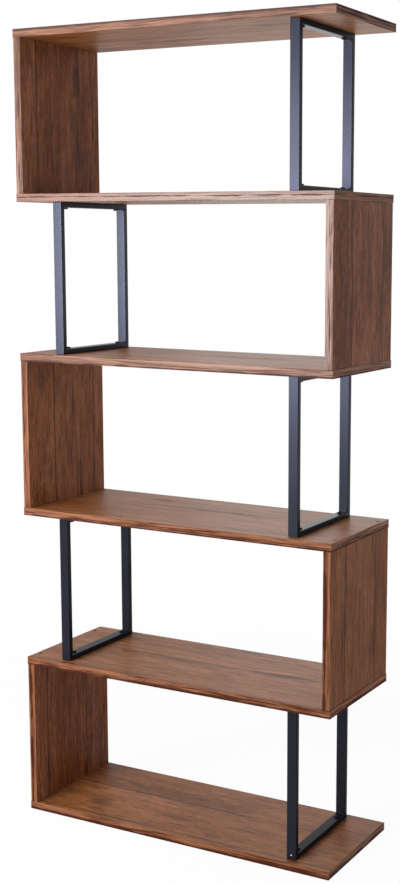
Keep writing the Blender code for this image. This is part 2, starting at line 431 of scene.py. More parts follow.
def vein(finish, along, cross, seed, middle, swing, width, steady):
    """Rises to 1 on a vein that wanders about a height above the strip's middle. A steady one has no gaps."""
    slow = finish.noise(grain_scales(along, VEIN_SLOW, 0.0), (seed, seed * 0.7, seed * 1.9), 1.0)
    quick = finish.noise(grain_scales(along, VEIN_QUICK, 0.0), (seed * 1.3, seed, seed * 0.4), 2.0)
    girth = finish.noise(grain_scales(along, VEIN_GIRTH, 0.0), (seed * 2.9, seed * 1.1, seed), 2.0)
    line = (slow - 0.5) * (swing * VEIN_SLOW_SWING) + (quick - 0.5) * swing + middle
    away = abs(cross - line)
    half = finish.step(girth, 0.36, 0.68) * width + width * (0.22 + 0.50 * steady)
    gap_start, gap_end = (edge - STEADY_SHIFT * steady for edge in VEIN_GAP)
    return finish.step(away / half, 1.0, 0.5) * finish.step(girth, gap_start, gap_end)


print("a vein turns", VEIN_SLOW, "times in a metre and wavers", VEIN_QUICK, "times")

# %% Edge band print
# A strip's tone lifts or lowers its whole ground: the tables set it strip by strip as painted light and shade.
BandStyle = namedtuple("BandStyle", "middle tone second girth swing gloss steady contrast")

BAND_LAYERS = {
    "bands": Layer(2.8, 130.0, 3.0, 0.6),
    "streaks": Layer(6.5, 320.0, 3.0, 0.6),
    "fibres": Layer(22.0, 900.0, 1.0, 0.5),
    "strokes": Layer(5.5, 290.0, 3.0, 0.5),
    "hairs": Layer(9.0, 520.0, 2.0, 0.5),
}
BAND_SHARES = {"bands": 1.7, "streaks": 2.6, "fibres": 1.5}
BAND_LEVEL = 0.70
BAND_DRIFT = 0.018
BAND_TONES = [
    (0.00, (0.040, 0.010, 0.004)),
    (0.30, (0.088, 0.026, 0.009)),
    (0.60, (0.146, 0.050, 0.021)),
    (1.00, (0.222, 0.092, 0.045)),
]
VEIN_TONE = (0.036, 0.007, 0.003)
FIRST_VEIN_WIDTH, FIRST_VEIN_INK = 0.0031, 0.94
SECOND_VEIN_WIDTH, SECOND_VEIN_RISE = 0.0020, 0.0050
STROKE_EDGE, STROKE_INK = (0.57, 0.65), 0.66
HAIR_EDGE, HAIR_INK = (0.56, 0.65), 0.60
FINE_INK_LIMIT = 0.95
BAND_RELIEF = 0.00008


def edge_print(name, along, across, centre, seed, style, painted_light_level=1.0):
    """The print on a strip that runs along one axis and is 18 mm wide along another, about its own centre."""
    made = Finish(name)
    cross = made.axes[across] - centre
    shift = (seed * 1.9, seed * 0.77, seed * 2.3)
    drift = made.noise(grain_scales(along, 3.6, 0.0), shift, 1.0) - 0.5
    noises = grain(made, along, BAND_LAYERS, shift, wandering(made, across, drift * BAND_DRIFT))
    streaks, fibres = noises["streaks"], noises["fibres"]
    first = vein(
        made, along, cross, seed, style.middle, style.swing, FIRST_VEIN_WIDTH * style.girth, style.steady
    )
    second = vein(
        made, along, cross, seed + 5.3, style.middle + SECOND_VEIN_RISE, style.swing,
        SECOND_VEIN_WIDTH * style.girth, 0.0,
    )

    # The style's tone, and the level that scales the ramp below, lift or lower the ground colour: painted light
    # and shade.
    level = toned(BAND_LEVEL + style.tone, noises, BAND_SHARES, style.contrast)
    ground = made.ramp(tinted(BAND_TONES, (painted_light_level, painted_light_level, painted_light_level)), level)
    strokes = made.step(noises["strokes"], *STROKE_EDGE) * min(FINE_INK_LIMIT, STROKE_INK * style.contrast)
    hairs = made.step(noises["hairs"], *HAIR_EDGE) * min(FINE_INK_LIMIT, HAIR_INK * style.contrast)
    bold = (first * FIRST_VEIN_INK).larger(second * style.second)
    mark = strokes.larger(hairs).larger(bold)
    return made.finish(
        Base_Color=made.mix(ground, VEIN_TONE, mark),
        Roughness=0.33 + 0.10 * (streaks - 0.5) + 0.34 * mark,
        Specular_IOR_Level=style.gloss,
        Normal=made.bump(streaks * 0.7 + fibres * 0.3, BAND_RELIEF, 0.5),
    )


print("layers of noise in the bands:", len(BAND_LAYERS), "tones:", len(BAND_TONES))

# %% [markdown]
# ## The black metal
#
# The frames are powder coated: a satin black with a hint of blue and the faint skin of an orange. A blue paint
# would look blue in the dark too. The shader's own specular tint gives most of the blue, so it shows where the
# coat mirrors the soft lamp.
#
# Where two lengths of tube meet, a ground weld leaves a line that is just felt under the coat. A painted
# highlight, a small white dot in the coat's colour, sits at the foot of the lowest front post. The wide faces take
# more gloss than the narrow ones, and each frame has its own, as in the photograph. The screws are blackened
# steel, a little paler and shinier than the coat and without its blue.

# %% Powder coat
COAT_DARK = (0.0045, 0.0047, 0.0062)
COAT_PALE = (0.0085, 0.0086, 0.0108)
COAT_TINT = (0.62, 0.68, 1.0)
COAT_SKIN, COAT_CLOUD = 850.0, 14.0
COAT_RELIEF = 0.00010
WELD_LINE = (0.0008, 0.0002)
# A painted highlight: a white dot in the coat's colour on the front face of the first frame's front post. These
# give its place across and up, its radius, its colour, and how close to the front face it must lie.
PAINTED_GLINT_PLACE = (0.2997, 0.0284)
PAINTED_GLINT_RADIUS = 0.0017
PAINTED_GLINT_TONE = (0.80, 0.77, 0.76)
PAINTED_GLINT_DEPTH = (0.002, 0.001)


def powder_coat(name, seed, tube_box, gloss, painted_glint=None):
    """Satin black coat for one frame, whose box gives the corners where its tubes are welded."""
    low, high = tube_box
    made = Finish(name)
    skin = made.noise([COAT_SKIN] * 3, (seed, seed, seed), 1.0)
    cloud = made.noise([COAT_CLOUD] * 3, (seed * 2, seed, 0.0), 3.0)
    from_end = (high.y - low.y) / 2 - abs(made.axes[1] - (high.y + low.y) / 2)
    from_top = (high.z - low.z) / 2 - abs(made.axes[2] - (high.z + low.z) / 2)
    weld = made.step(abs(from_end - from_top), *WELD_LINE)
    colour = made.mix(COAT_DARK, COAT_PALE, cloud)
    # A painted highlight: a white dot painted into the coat's colour near the foot of the post.
    if painted_glint:
        across = made.axes[0] - painted_glint[0]
        upward = made.axes[2] - painted_glint[1]
        spread = across * across + upward * upward
        front = made.step(made.axes[1], low.y + PAINTED_GLINT_DEPTH[0], low.y + PAINTED_GLINT_DEPTH[1])
        glint_spot = made.step(spread, PAINTED_GLINT_RADIUS ** 2, PAINTED_GLINT_RADIUS ** 2 * 0.4) * front
        colour = made.mix(colour, PAINTED_GLINT_TONE, glint_spot)
    return made.finish(
        Base_Color=colour,
        Roughness=0.29 + 0.06 * (cloud - 0.5) + 0.06 * (skin - 0.5),
        Specular_IOR_Level=gloss,
        Specular_Tint=COAT_TINT,
        Normal=made.bump(skin * 0.25 + weld, COAT_RELIEF, 0.5),
    )


# The size of the painted highlight.
print("fleck:", PAINTED_GLINT_RADIUS * 2000, "mm across")

# %% Blackened steel
STEEL_DARK = (0.010, 0.010, 0.011)
STEEL_WORN = (0.034, 0.032, 0.032)
STEEL_MOTTLE = 600.0
STEEL_WORN_EDGE = (0.45, 0.75)
STEEL_RINGS = (60.0, 60.0, 2400.0)
STEEL_RELIEF = 0.00005


def blackened_steel(name, seed, gloss):
    """Oxide black on the screws, a little paler where it is worn."""
    made = Finish(name)
    mottle = made.noise([STEEL_MOTTLE] * 3, (seed, 0.0, seed), 3.0)
    rings = made.noise(STEEL_RINGS, (0.0, seed, 0.0), 1.0)
    return made.finish(
        Base_Color=made.mix(STEEL_DARK, STEEL_WORN, made.step(mottle, *STEEL_WORN_EDGE)),
        Roughness=0.34 + 0.16 * (mottle - 0.5),
        Specular_IOR_Level=gloss,
        Normal=made.bump(rings * 0.5 + mottle * 0.5, STEEL_RELIEF, 0.5),
    )


print("the tool's rings:", STEEL_RINGS[2], "to a metre of screw")

# %% [markdown]
# ## Making a mesh
#
# Every piece starts as a bmesh, a mesh that code can still bend and cut, and becomes an object when it is done.
# A hole is cut by a Boolean modifier, whose result is kept and the modifier thrown away.
#
# Plain smooth shading would smear light over a flat board's rim. Weighted normals let the largest face rule each
# corner, so the flat faces look flat right up to their rounded edges.

# %% Helpers for making pieces
SMOOTH_BELOW = 40
BEVEL_SMOOTH_BELOW = 50


def add_piece(name, mesh, node, finish):
    """Puts a piece in the scene on the body that everything here rides on, in place of a solid."""
    mesh.materials.clear()
    mesh.materials.append(finish)
    piece = bpy.data.objects.new(name, mesh)
    scene.collection.objects.link(piece)
    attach(piece, "root")
    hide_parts(node)
    return piece


def box_shape(low, high):
    """A box between two corners, as a shape that is still being worked on."""
    shape = bmesh.new()
    bmesh.ops.create_cube(shape, size=1.0)
    middle = (low + high) / 2
    size = high - low
    for vert in shape.verts:
        vert.co = Vector(middle[axis] + vert.co[axis] * size[axis] for axis in range(3))
    return shape


def worked_mesh(name, blank, modifiers):
    """The mesh that is left when a list of modifiers, each a kind with its settings, has worked on a blank."""
    work = bpy.data.objects.new(name, blank)
    scene.collection.objects.link(work)
    for kind, settings in modifiers:
        modifier = work.modifiers.new(kind.lower(), kind)
        for setting, value in settings.items():
            setattr(modifier, setting, value)
    bpy.context.view_layer.update()
    graph = bpy.context.evaluated_depsgraph_get()
    mesh = bpy.data.meshes.new_from_object(work.evaluated_get(graph))
    mesh.name = name
    bpy.data.objects.remove(work, do_unlink=True)
    return mesh


def shaded(name, mesh, smooth_below):
    """Smooth shading across edges that turn by fewer degrees than this, ruled by the largest faces."""
    mesh.shade_smooth()
    mesh.set_sharp_from_angle(angle=math.radians(smooth_below))
    return worked_mesh(name, mesh, [("WEIGHTED_NORMAL", {"keep_sharp": True})])


def shape_mesh(name, shape, smooth_below=SMOOTH_BELOW):
    """Turns a shape that is done into a mesh."""
    mesh = bpy.data.meshes.new(name)
    shape.normal_update()
    shape.to_mesh(mesh)
    shape.free()
    return shaded(name, mesh, smooth_below)


def cut_mesh(name, blank, cutters):
    """The blank mesh with every cutter mesh taken out of it."""
    tools = [bpy.data.objects.new(name + " cutter", cutter) for cutter in cutters]
    cuts = []
    for tool in tools:
        scene.collection.objects.link(tool)
        cuts.append(("BOOLEAN", {"operation": "DIFFERENCE", "solver": "EXACT", "object": tool}))
    mesh = worked_mesh(name, blank, cuts)
    for tool in tools:
        bpy.data.objects.remove(tool, do_unlink=True)
    return shaded(name, mesh, SMOOTH_BELOW)


print("sharp above:", SMOOTH_BELOW, "degrees, and on bevels", BEVEL_SMOOTH_BELOW)

# %% [markdown]
# ## Turning on a lathe
#
# A screw is a turned part, so it is made as on a lathe: an outline of radii and heights, carried round the axis.
# The Screw and Spin tools could do it, but rings joined by hand give a closed solid with no doubled points,
# which the Boolean cuts of the driver's recess need.

# %% Turned shapes
ROUND_SIDES = 32


def turned_shape(profile):
    """A solid of revolution about Z from (radius, height) points, which run from its top to its bottom."""
    shape = bmesh.new()
    rings = []
    for radius, height in profile:
        if radius == 0.0:
            rings.append([shape.verts.new((0.0, 0.0, height))])
            continue
        ring = []
        for side in range(ROUND_SIDES):
            angle = 2 * math.pi * side / ROUND_SIDES
            ring.append(shape.verts.new((radius * math.cos(angle), radius * math.sin(angle), height)))
        rings.append(ring)
    for upper, lower in zip(rings, rings[1:]):
        for side in range(ROUND_SIDES):
            following = (side + 1) % ROUND_SIDES
            corners = [upper[side % len(upper)], lower[side % len(lower)]]
            if len(lower) > 1:
                corners.append(lower[following])
            if len(upper) > 1:
                corners.append(upper[following])
            shape.faces.new(corners)
    return shape


def put_shape(shape, place, upside_down=False):
    """Turns a shape over about X if it is driven from below, and moves it to its place."""
    turn = Matrix.Rotation(math.pi, 4, "X") if upside_down else Matrix.Identity(4)
    bmesh.ops.transform(shape, matrix=Matrix.Translation(place) @ turn, verts=shape.verts)
    return shape


print("sides of a turned piece:", ROUND_SIDES)

# %% [markdown]
# ## Screws
#
# Two kinds of screw hold the bookcase together. A countersunk one with a hexagonal socket goes through a shelf
# into the end of a panel, and its flat head shows as a black disc just under the shelf's face. A pan-head one
# goes through a frame's rail into a shelf, and its domed head stands on the rail beside the post.
#
# Both are turned, with the ridges of the thread in the outline, and the driver's recess is cut out of the head.
# True helical threads would cost thousands of faces, and nobody sees them inside the boards.

# %% Panel screws
PANEL_HEAD_RADIUS = 0.0050
PANEL_HEAD_DEPTH = 0.0035
PANEL_HEAD_RIM = 0.0002
PANEL_NECK_RADIUS = 0.0035
PANEL_NECK_LENGTH = 0.0060
PANEL_THREAD_RADIUS = 0.0026
PANEL_THREAD_RUN_OUT = 0.0008
PANEL_SOCKET_WIDTH = 0.0040
PANEL_SOCKET_DEPTH = 0.0026
THREAD_PITCH = 0.0022
THREAD_DEPTH = 0.0006


def thread_outline(radius, start, end):
    """Ridges and valleys down a screw, from one height to a lower one."""
    outline = []
    for turn in range(int((start - end) / THREAD_PITCH)):
        height = start - turn * THREAD_PITCH
        outline.append((radius - THREAD_DEPTH, height))
        outline.append((radius, height - THREAD_PITCH / 2))
    return outline


def panel_screw_outline(length, clearance=0.0, overrun=0.0):
    """The top of the head is at zero. With a clearance it is the outline of the screw's hole instead."""
    head = PANEL_HEAD_RADIUS + clearance
    neck = PANEL_NECK_RADIUS + clearance
    neck_end = -PANEL_HEAD_DEPTH - PANEL_NECK_LENGTH
    top = [(0.0, overrun), (head, overrun), (head, -clearance - PANEL_HEAD_RIM)]
    upper = [(neck, -PANEL_HEAD_DEPTH - clearance), (neck, neck_end - clearance)]
    if clearance:
        return top + upper + [(PANEL_THREAD_RADIUS + clearance, -length - clearance), (0.0, -length - clearance)]
    thread = thread_outline(PANEL_THREAD_RADIUS, neck_end - PANEL_THREAD_RUN_OUT, -length + PANEL_THREAD_RADIUS)
    return top + upper + thread + [(PANEL_THREAD_RADIUS / 2, -length), (0.0, -length)]


def panel_screw_mesh(name, place, length, upside_down):
    blank = shape_mesh(name, put_shape(turned_shape(panel_screw_outline(length)), place, upside_down))
    socket = bmesh.new()
    radius = PANEL_SOCKET_WIDTH / math.sqrt(3)
    bmesh.ops.create_cone(
        socket, cap_ends=True, segments=6, radius1=radius, radius2=radius, depth=2 * PANEL_SOCKET_DEPTH
    )
    return cut_mesh(name, blank, [shape_mesh(name, put_shape(socket, place))])


print("points down a 50 mm panel screw:", len(panel_screw_outline(0.050)))

# %% Frame screws
FRAME_HEAD_RADIUS = 0.0050
FRAME_HEAD_HEIGHT = 0.0030
FRAME_SHANK_RADIUS = 0.0020
FRAME_THREAD_START = -0.0110
FRAME_TIP_LENGTH = 0.0025
RECESS_LENGTH = 0.0050
RECESS_WIDTH = 0.0011
RECESS_DEPTH = 0.0014
DOME_STEPS = 5
CROWN_SHARE = 0.56
SHOULDER_SHARE = 0.40


def frame_screw_outline(length):
    """The underside of the head is at zero. The head has a flat crown and a rounded shoulder."""
    dome = [(0.0, FRAME_HEAD_HEIGHT)]
    for step in range(DOME_STEPS + 1):
        angle = math.pi / 2 * step / DOME_STEPS
        radius = FRAME_HEAD_RADIUS * (CROWN_SHARE + (1 - CROWN_SHARE) * math.sin(angle))
        height = FRAME_HEAD_HEIGHT * (SHOULDER_SHARE + (1 - SHOULDER_SHARE) * math.cos(angle))
        dome.append((radius, height))
    thread = thread_outline(FRAME_SHANK_RADIUS, FRAME_THREAD_START, -length + FRAME_TIP_LENGTH)
    tip = [(FRAME_SHANK_RADIUS / 2, -length), (0.0, -length)]
    return dome + [(FRAME_HEAD_RADIUS, 0.0), (FRAME_SHANK_RADIUS, 0.0)] + thread + tip


def frame_screw_mesh(name, place, length, upside_down):
    blank = shape_mesh(name, put_shape(turned_shape(frame_screw_outline(length)), place, upside_down))
    top = Vector((0.0, 0.0, FRAME_HEAD_HEIGHT * (-1 if upside_down else 1)))
    arms = []
    for arm in ((RECESS_LENGTH, RECESS_WIDTH), (RECESS_WIDTH, RECESS_LENGTH)):
        half = Vector((arm[0] / 2, arm[1] / 2, RECESS_DEPTH))
        arms.append(shape_mesh(name, put_shape(box_shape(-half, half), place + top)))
    return cut_mesh(name, blank, arms)


print("points down a 24 mm frame screw:", len(frame_screw_outline(0.024)))

# %% [markdown]
# ## Placing the screws
#
# Each bay has eight screws, four into the panel's ends and four through the frame's rails. They could be placed
# by sums from the edges of the boards, but each solid's box already says where its screw is and how long. The
# lower ones of a panel are driven up from below the shelf, and the upper ones of a frame up into the shelf above.

# %% Place the screws
SHELF_COUNT = 6
BAY_COUNT = SHELF_COUNT - 1
ENDS = ("lower", "upper")
DEPTHS = ("front", "rear")


def head_place(node, upside_down, head_height):
    """The middle of a screw's reference face, from its solid's box, and the length of the solid."""
    low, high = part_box(node)
    height = low.z + head_height if upside_down else high.z - head_height
    return Vector(((low.x + high.x) / 2, (low.y + high.y) / 2, height)), high.z - low.z


panel_screw_finish = blackened_steel("blackened steel, sunk heads", 0.7, 0.02)
frame_screw_finish = blackened_steel("blackened steel, pan heads", 1.4, 0.06)
panel_screw_places = {}
for bay in range(1, BAY_COUNT + 1):
    for end in ENDS:
        for depth in DEPTHS:
            node = f"panel_screw_{bay}_{end}_{depth}"
            from_below = end == "lower"
            place, length = head_place(node, from_below, 0.0)
            mesh = panel_screw_mesh(f"{node}_turned", place, length, from_below)
            add_piece(f"{node}_turned", mesh, node, panel_screw_finish)
            panel_screw_places[node] = (place, length, from_below)

            node = f"frame_screw_{bay}_{end}_{depth}"
            from_below = end == "upper"
            place, length = head_place(node, from_below, FRAME_HEAD_HEIGHT)
            mesh = frame_screw_mesh(f"{node}_turned", place, length - FRAME_HEAD_HEIGHT, from_below)
            add_piece(f"{node}_turned", mesh, node, frame_screw_finish)
print("panel screws:", len(panel_screw_places), "and as many frame screws")

# %% [markdown]
# ## Boards with glued edges
#
# A board like this is a core, cut to size, with its edges banded afterwards. It could be one box with a material
# for each face, but then the joints between core and band would be missing. So each band is a piece of its own:
# one millimetre of plastic whose outer edges have been scraped round, which gives the thin bright line along
# every edge of the bookcase. The cores have the holes that the screws' heads sink into.
#
# The bands are boxes with only their outer edges bevelled. A shelf's front and rear bands run its whole length
# and its end bands fit between them. A panel has bands at its front and rear only, because shelves cover its ends.

# %% Bands and holes
BAND_THICKNESS = 0.0010
BAND_ROUNDING = 0.0007
HOLE_CLEARANCE = 0.0003
HOLE_OVERRUN = 0.002
ON_FACE = 1e-7
ALONG_RUN = 1e-6


def band_mesh(name, low, high, outward_axis, outward_sign, ends_too):
    """A strip whose outer edges are scraped round. Its end edges are rounded only where they are free."""
    shape = box_shape(low, high)
    outer = high[outward_axis] if outward_sign > 0 else low[outward_axis]
    longest = max(range(3), key=lambda axis: high[axis] - low[axis])
    edges = []
    for edge in shape.edges:
        on_face = all(abs(vert.co[outward_axis] - outer) < ON_FACE for vert in edge.verts)
        run = edge.verts[0].co - edge.verts[1].co
        if on_face and (ends_too or abs(run[longest]) > ALONG_RUN):
            edges.append(edge)
    bmesh.ops.bevel(
        shape, geom=edges, offset=BAND_ROUNDING, segments=3, profile=0.5, affect="EDGES", clamp_overlap=True
    )
    return shape_mesh(name, shape, BEVEL_SMOOTH_BELOW)


def add_band(node, side, low, high, axis, sign, ends_too, finish):
    """A band on the face of a board that looks along an axis, towards its low or its high end."""
    band_low, band_high = low.copy(), high.copy()
    if sign < 0:
        band_high[axis] = low[axis] + BAND_THICKNESS
    else:
        band_low[axis] = high[axis] - BAND_THICKNESS
    name = f"{node}_{side}_band"
    strip = band_mesh(name, band_low, band_high, axis, sign, ends_too)
    add_piece(name, strip, node, finish)


def screw_holes(names):
    """A cutter for each panel screw that is named and is there."""
    holes = []
    for name in names:
        if name in panel_screw_places:
            place, length, upside_down = panel_screw_places[name]
            outline = panel_screw_outline(length, HOLE_CLEARANCE, HOLE_OVERRUN)
            holes.append(shape_mesh("screw hole", put_shape(turned_shape(outline), place, upside_down)))
    return holes


def add_core(node, low, high, inset, screws, finish):
    """The board inside its bands, with the holes of its screws."""
    blank = shape_mesh(node, box_shape(low + inset, high - inset))
    core = cut_mesh(f"{node}_core", blank, screw_holes(screws))
    add_piece(f"{node}_core", core, node, finish)


print("band:", BAND_THICKNESS * 1000, "mm, rounded by", BAND_ROUNDING * 1000, "mm")

# %% [markdown]
# ## The shelves
#
# All six shelves are the same board. Copies of one object would be quicker, but then the grain would repeat. So
# each has its own seed, its own plank lines and patches, and bands with their own veins.
#
# A style holds what sets one board apart, and the columns of the tables stand in the order of its names. Each
# shelf's lightness and each band's tone are painted light and shade: they make a board or band lighter or darker
# to match the light it gets. The end bands have their own gloss, because in the photograph they are duller than
# most front bands, and a painted lightness for each shelf, for the light on that end.

# %% Make the shelves
SHELF_TINT = (1.17, 1.23, 0.98)


def shelf_style(seed, line, painted_light_level, gloss, patches):
    """The print on one shelf, in the shelves' tint made a little darker or lighter as painted light and shade."""
    return BoardStyle(seed, line, tuple(part * painted_light_level for part in SHELF_TINT), 1.0, gloss, patches)


# The third column is painted light and shade: it makes each shelf's whole print lighter or darker to match the
# light that shelf gets.
SHELF_STYLES = {
    1: shelf_style(3.1, 0.023, 0.95, 0.110, [
        (-0.235, -0.105, 0.030, 0.016), (0.085, -0.108, 0.026, 0.016), (-0.10, 0.045, 0.27, 0.042),
    ]),
    2: shelf_style(5.4, 0.014, 0.99, 0.130, [
        (-0.10, 0.004, 0.17, 0.014), (0.20, 0.010, 0.10, 0.016), (-0.27, 0.100, 0.05, 0.020),
    ]),
    3: shelf_style(7.9, 0.030, 1.15, 0.160, [(0.02, 0.030, 0.16, 0.016), (-0.16, 0.085, 0.05, 0.014)]),
    4: shelf_style(11.2, -0.012, 1.07, 0.095, [(0.10, 0.020, 0.15, 0.015), (-0.10, -0.080, 0.06, 0.012)]),
    5: shelf_style(13.7, 0.040, 1.00, 0.100, [(0.05, 0.060, 0.12, 0.020), (-0.20, -0.040, 0.08, 0.016)]),
    6: shelf_style(17.3, 0.005, 1.08, 0.045, [(-0.12, 0.050, 0.14, 0.018), (0.22, -0.060, 0.08, 0.016)]),
}
# The middle column sets the height of each band's vein. On shelves 1 to 4 it lies on the lower edge and on shelf 6
# on the upper edge, where the dark line is partly a print vein and partly painted shade along the rounded edge.
# The tone column is painted light and shade for each band.
SHELF_BANDS = {
    1: BandStyle(-0.0076, 0.24, 0.3, 1.70, 0.0008, 0.04, 1.0, 1.35),
    2: BandStyle(-0.0062, 0.26, 0.8, 1.10, 0.0016, 0.06, 0.7, 1.40),
    3: BandStyle(-0.0072, 0.29, 0.8, 0.90, 0.0016, 0.09, 0.5, 1.50),
    4: BandStyle(-0.0070, 0.10, 0.6, 0.80, 0.0014, 0.26, 0.5, 1.00),
    5: BandStyle(0.0010, -0.20, 0.3, 0.60, 0.0026, 0.35, 0.0, 0.50),
    6: BandStyle(0.0074, 0.02, 0.5, 1.15, 0.0014, 0.33, 0.8, 1.30),
}
END_GLOSS = 0.04
# Painted light and shade: each end band is made lighter or darker, shelf by shelf, to match the light on that end.
END_PAINTED_LIGHT = {1: 0.86, 2: 1.30, 3: 1.13, 4: 1.18, 5: 1.30, 6: 0.86}

for number in range(1, SHELF_COUNT + 1):
    node = f"shelf_{number}"
    low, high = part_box(node)
    middle = (low.z + high.z) / 2
    style, band_style = SHELF_STYLES[number], SHELF_BANDS[number]
    screws = [f"panel_screw_{number - 1}_upper_{depth}" for depth in DEPTHS]
    screws += [f"panel_screw_{number}_lower_{depth}" for depth in DEPTHS]
    inset = Vector((BAND_THICKNESS, BAND_THICKNESS, 0.0))
    add_core(node, low, high, inset, screws, walnut_print(f"walnut print {node}", 0, style))
    for side, sign in (("front", -1), ("rear", 1)):
        finish = edge_print(f"edge print {node} {side}", 0, 2, middle, style.seed + sign, band_style)
        add_band(node, side, low, high, 1, sign, True, finish)

    short = Vector((0.0, BAND_THICKNESS, 0.0))
    end_style = band_style._replace(gloss=END_GLOSS)
    for side, sign in (("left", -1), ("right", 1)):
        name = f"edge print {node} {side}"
        finish = edge_print(name, 1, 2, middle, style.seed + 2 * sign, end_style, END_PAINTED_LIGHT[number])
        add_band(node, side, low + short, high - short, 0, sign, False, finish)
print("shelves:", SHELF_COUNT, "with", 4 * SHELF_COUNT, "bands")

# %% [markdown]
# ## The side panels
#
# The panels have the same print and stand on end, so their grain runs up and down. A panel could be a
# turned copy of a shelf, but its print has to keep its real size on a shorter board, so it is laid anew along Z.
#
# Each panel's tint, contrast and gloss follow what the photograph shows of it. The tints are painted light and
# shade: they make each panel lighter or darker to match the light that falls on it.

# %% Make the side panels
# The tint column is painted light and shade: it lifts or lowers each panel's colour to match the light on it.
PANEL_STYLES = {
    1: BoardStyle(2.3, -0.099, (1.02, 0.96, 0.92), 1.20, 0.055, [
        (0.085, -0.095, 0.045, 0.026), (0.20, 0.070, 0.05, 0.018),
    ]),
    2: BoardStyle(4.9, 0.078, (1.00, 0.99, 0.93), 0.95, 0.030, [
        (0.545, -0.080, 0.055, 0.020), (0.47, 0.060, 0.05, 0.015),
    ]),
    3: BoardStyle(8.6, -0.048, (1.24, 1.20, 1.05), 1.20, 0.055, [
        (0.800, 0.048, 0.040, 0.018), (1.030, -0.100, 0.045, 0.028),
    ]),
    4: BoardStyle(12.1, -0.056, (1.05, 1.00, 1.00), 1.60, 0.030, [
        (1.330, 0.115, 0.070, 0.018), (1.130, -0.110, 0.030, 0.022),
    ]),
    5: BoardStyle(15.8, -0.090, (1.26, 1.22, 1.18), 1.20, 0.055, [
        (1.720, 0.058, 0.042, 0.022), (1.540, 0.065, 0.045, 0.030),
    ]),
}
# The tone column is painted light and shade for each panel band.
PANEL_BANDS = {
    1: BandStyle(-0.0008, 0.08, 0.2, 1.20, 0.0044, 0.050, 0.7, 0.8),
    2: BandStyle(-0.0038, 0.21, 0.2, 1.25, 0.0036, 0.060, 0.8, 0.8),
    3: BandStyle(-0.0030, 0.10, 0.6, 0.70, 0.0030, 0.105, 0.2, 1.1),
    4: BandStyle(0.0020, -0.14, 0.5, 0.70, 0.0026, 0.295, 0.0, 1.3),
    5: BandStyle(0.0010, -0.14, 0.5, 0.90, 0.0026, 0.330, 0.0, 1.5),
}

for number in range(1, BAY_COUNT + 1):
    node = f"side_panel_{number}"
    low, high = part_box(node)
    middle = (low.x + high.x) / 2
    style, band_style = PANEL_STYLES[number], PANEL_BANDS[number]
    screws = [f"panel_screw_{number}_{end}_{depth}" for end in ENDS for depth in DEPTHS]
    inset = Vector((0.0, BAND_THICKNESS, 0.0))
    add_core(node, low, high, inset, screws, walnut_print(f"walnut print {node}", 2, style))
    for side, sign in (("front", -1), ("rear", 1)):
        finish = edge_print(f"edge print {node} {side}", 2, 0, middle, style.seed + sign, band_style)
        add_band(node, side, low, high, 1, sign, False, finish)
print("side panels:", BAY_COUNT, "with", 2 * BAY_COUNT, "bands")

# %% [markdown]
# ## Frames of flat tube
#
# Each frame is four lengths of flat tube, mitred, welded and ground flush. The tube is bent from sheet, so its
# long edges are round, while the corners of the frame stay nearly sharp.
#
# A curve with a bevel profile would make tube too, but it thins at square corners. Here the mesh is one outline
# of the tube, set down at each of the four mitred corners and joined up in a loop. A small bevel on the corners
# of the frame stands for the grinder's work.

# %% Make the frames
TUBE_THICKNESS = 0.012
TUBE_ROUNDING = 0.0015
ROUNDING_STEPS = 4
GROUND_CORNER = 0.0008
GROUND_ABOVE = 60
WIDE_FACE = 0.7
SEED_STEP = 1.9
FACE_GLOSS = {1: 0.20, 2: 0.20, 3: 0.30, 4: 0.34, 5: 0.24}
SIDE_GLOSS = {1: 0.03, 2: 0.065, 3: 0.05, 4: 0.10, 5: 0.035}


def tube_outline(width):
    """Points round the tube: place across its width, and depth in from the outside of the frame."""
    corners = (
        (width / 2 - TUBE_ROUNDING, TUBE_ROUNDING, -90),
        (width / 2 - TUBE_ROUNDING, TUBE_THICKNESS - TUBE_ROUNDING, 0),
        (-width / 2 + TUBE_ROUNDING, TUBE_THICKNESS - TUBE_ROUNDING, 90),
        (-width / 2 + TUBE_ROUNDING, TUBE_ROUNDING, 180),
    )
    outline = []
    for across, depth, start in corners:
        for step in range(ROUNDING_STEPS + 1):
            angle = math.radians(start + 90 * step / ROUNDING_STEPS)
            outline.append((across + TUBE_ROUNDING * math.cos(angle), depth + TUBE_ROUNDING * math.sin(angle)))
    return outline


def frame_mesh(name, low, high):
    shape = bmesh.new()
    middle = (low.x + high.x) / 2
    outline = tube_outline(high.x - low.x)
    rings = []
    for y, z, y_in, z_in in (
        (low.y, low.z, 1, 1), (high.y, low.z, -1, 1), (high.y, high.z, -1, -1), (low.y, high.z, 1, -1),
    ):
        rings.append([
            shape.verts.new((middle + across, y + y_in * depth, z + z_in * depth)) for across, depth in outline
        ])
    for ring, following in zip(rings, rings[1:] + rings[:1]):
        for point in range(len(outline)):
            after = (point + 1) % len(outline)
            shape.faces.new((ring[point], following[point], following[after], ring[after]))
    bmesh.ops.recalc_face_normals(shape, faces=shape.faces)
    square = [edge for edge in shape.edges if edge.calc_face_angle(0.0) > math.radians(GROUND_ABOVE)]
    bmesh.ops.bevel(shape, geom=square, offset=GROUND_CORNER, segments=2, profile=0.5, affect="EDGES")
    return shape_mesh(name, shape, BEVEL_SMOOTH_BELOW)


